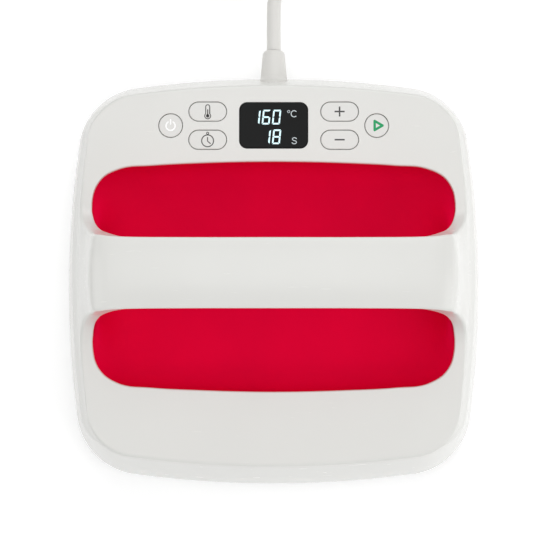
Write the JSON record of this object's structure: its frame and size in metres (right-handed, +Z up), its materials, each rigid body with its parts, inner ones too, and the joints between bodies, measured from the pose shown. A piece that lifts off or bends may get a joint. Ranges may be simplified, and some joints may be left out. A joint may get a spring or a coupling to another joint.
{
  "type": "hand heat press",
  "caption": "Square hand heat press: coated heated plate under a glossy domed housing, arched full-width handle over a red hollow, key deck with display, mains lead.",
  "frame": {"origin": "centre of the press's footprint on the surface it stands on, with the mains lead left out, at the plate's working face", "axes": "+Z up out of the working surface, X along the handle with +X to the user's right, +Y away from the user, towards the key deck and the mains lead"},
  "size_m": [0.2724, 0.4772, 0.1117],
  "materials": {
    "housing_white": "glossy moulded ABS, near white",
    "liner_red": "fine-textured raspberry red moulding",
    "base_grey": "satin heat-resistant moulding, light grey",
    "plate_coating": "cast aluminium with a dark non-stick ceramic coating",
    "silicone": "silicone rubber, off-white",
    "steel": "zinc-plated or plain steel",
    "mica": "pressed mica board",
    "aluminium": "plain aluminium",
    "black_plastic": "moulded black plastic",
    "circuit_board": "solder-masked circuit board",
    "component_yellow": "taped or potted component",
    "display_glass": "dark tinted acrylic window",
    "key_white": "satin key cap, near white",
    "cord_jacket": "satin PVC, warm light grey",
    "wire_sleeve": "glass-fibre braided sleeving",
    "plug_nickel": "nickel-plated brass"
  },
  "bodies": {
    "press": {"top_shell": "housing_white", "bowl_liner": "liner_red", "grip_cover": "liner_red", "base_ring": "base_grey", "heat_plate": "plate_coating", "plate_seal": "silicone", "heating_element": "steel", "insulation_board": "mica", "heat_shield": "aluminium", "thermal_cutoff": "black_plastic", "temperature_sensor": "steel", "sensor_clip": "aluminium", "plate_screw_1": "steel", "plate_screw_2": "steel", "plate_screw_3": "steel", "plate_screw_4": "steel", "housing_screw_1": "steel", "housing_screw_2": "steel", "housing_screw_3": "steel", "housing_screw_4": "steel", "power_board": "circuit_board", "relay": "black_plastic", "film_capacitor": "component_yellow", "transformer": "component_yellow", "triac_heatsink": "aluminium", "fuse": "display_glass", "terminal_block": "black_plastic", "control_board": "circuit_board", "lcd_module": "black_plastic", "display_window": "display_glass", "buzzer": "black_plastic", "switch_power": "black_plastic", "switch_temperature": "black_plastic", "switch_timer": "black_plastic", "switch_plus": "black_plastic", "switch_minus": "black_plastic", "switch_start": "black_plastic", "strain_relief": "cord_jacket", "inner_lead": "cord_jacket", "cord_clamp": "steel", "clamp_screw_1": "steel", "clamp_screw_2": "steel", "lead_live": "wire_sleeve", "lead_neutral": "wire_sleeve", "power_cord": "cord_jacket", "cord_coil": "cord_jacket", "coil_tie": "silicone", "cord_tail": "cord_jacket", "plug_body": "cord_jacket", "plug_pin_1": "plug_nickel", "plug_pin_2": "plug_nickel"},
    "power_key": {"key_power": "key_white"},
    "temperature_key": {"key_temperature": "key_white"},
    "timer_key": {"key_timer": "key_white"},
    "plus_key": {"key_plus": "key_white"},
    "minus_key": {"key_minus": "key_white"},
    "start_key": {"key_start": "key_white"}
  },
  "joints": [
    {"name": "power_key_press", "type": "slide", "parent": "press", "child": "power_key", "axis": [0, 0, -1], "range_m": [0, 0.0006], "stiffness_N_per_m": 800, "springref_m": -0.0006},
    {"name": "temperature_key_press", "type": "slide", "parent": "press", "child": "temperature_key", "axis": [0, 0, -1], "range_m": [0, 0.0006], "stiffness_N_per_m": 800, "springref_m": -0.0006},
    {"name": "timer_key_press", "type": "slide", "parent": "press", "child": "timer_key", "axis": [0, 0, -1], "range_m": [0, 0.0006], "stiffness_N_per_m": 800, "springref_m": -0.0006},
    {"name": "plus_key_press", "type": "slide", "parent": "press", "child": "plus_key", "axis": [0, 0, -1], "range_m": [0, 0.0006], "stiffness_N_per_m": 800, "springref_m": -0.0006},
    {"name": "minus_key_press", "type": "slide", "parent": "press", "child": "minus_key", "axis": [0, 0, -1], "range_m": [0, 0.0006], "stiffness_N_per_m": 800, "springref_m": -0.0006},
    {"name": "start_key_press", "type": "slide", "parent": "press", "child": "start_key", "axis": [0, 0, -1], "range_m": [0, 0.0006], "stiffness_N_per_m": 800, "springref_m": -0.0006}
  ]
}
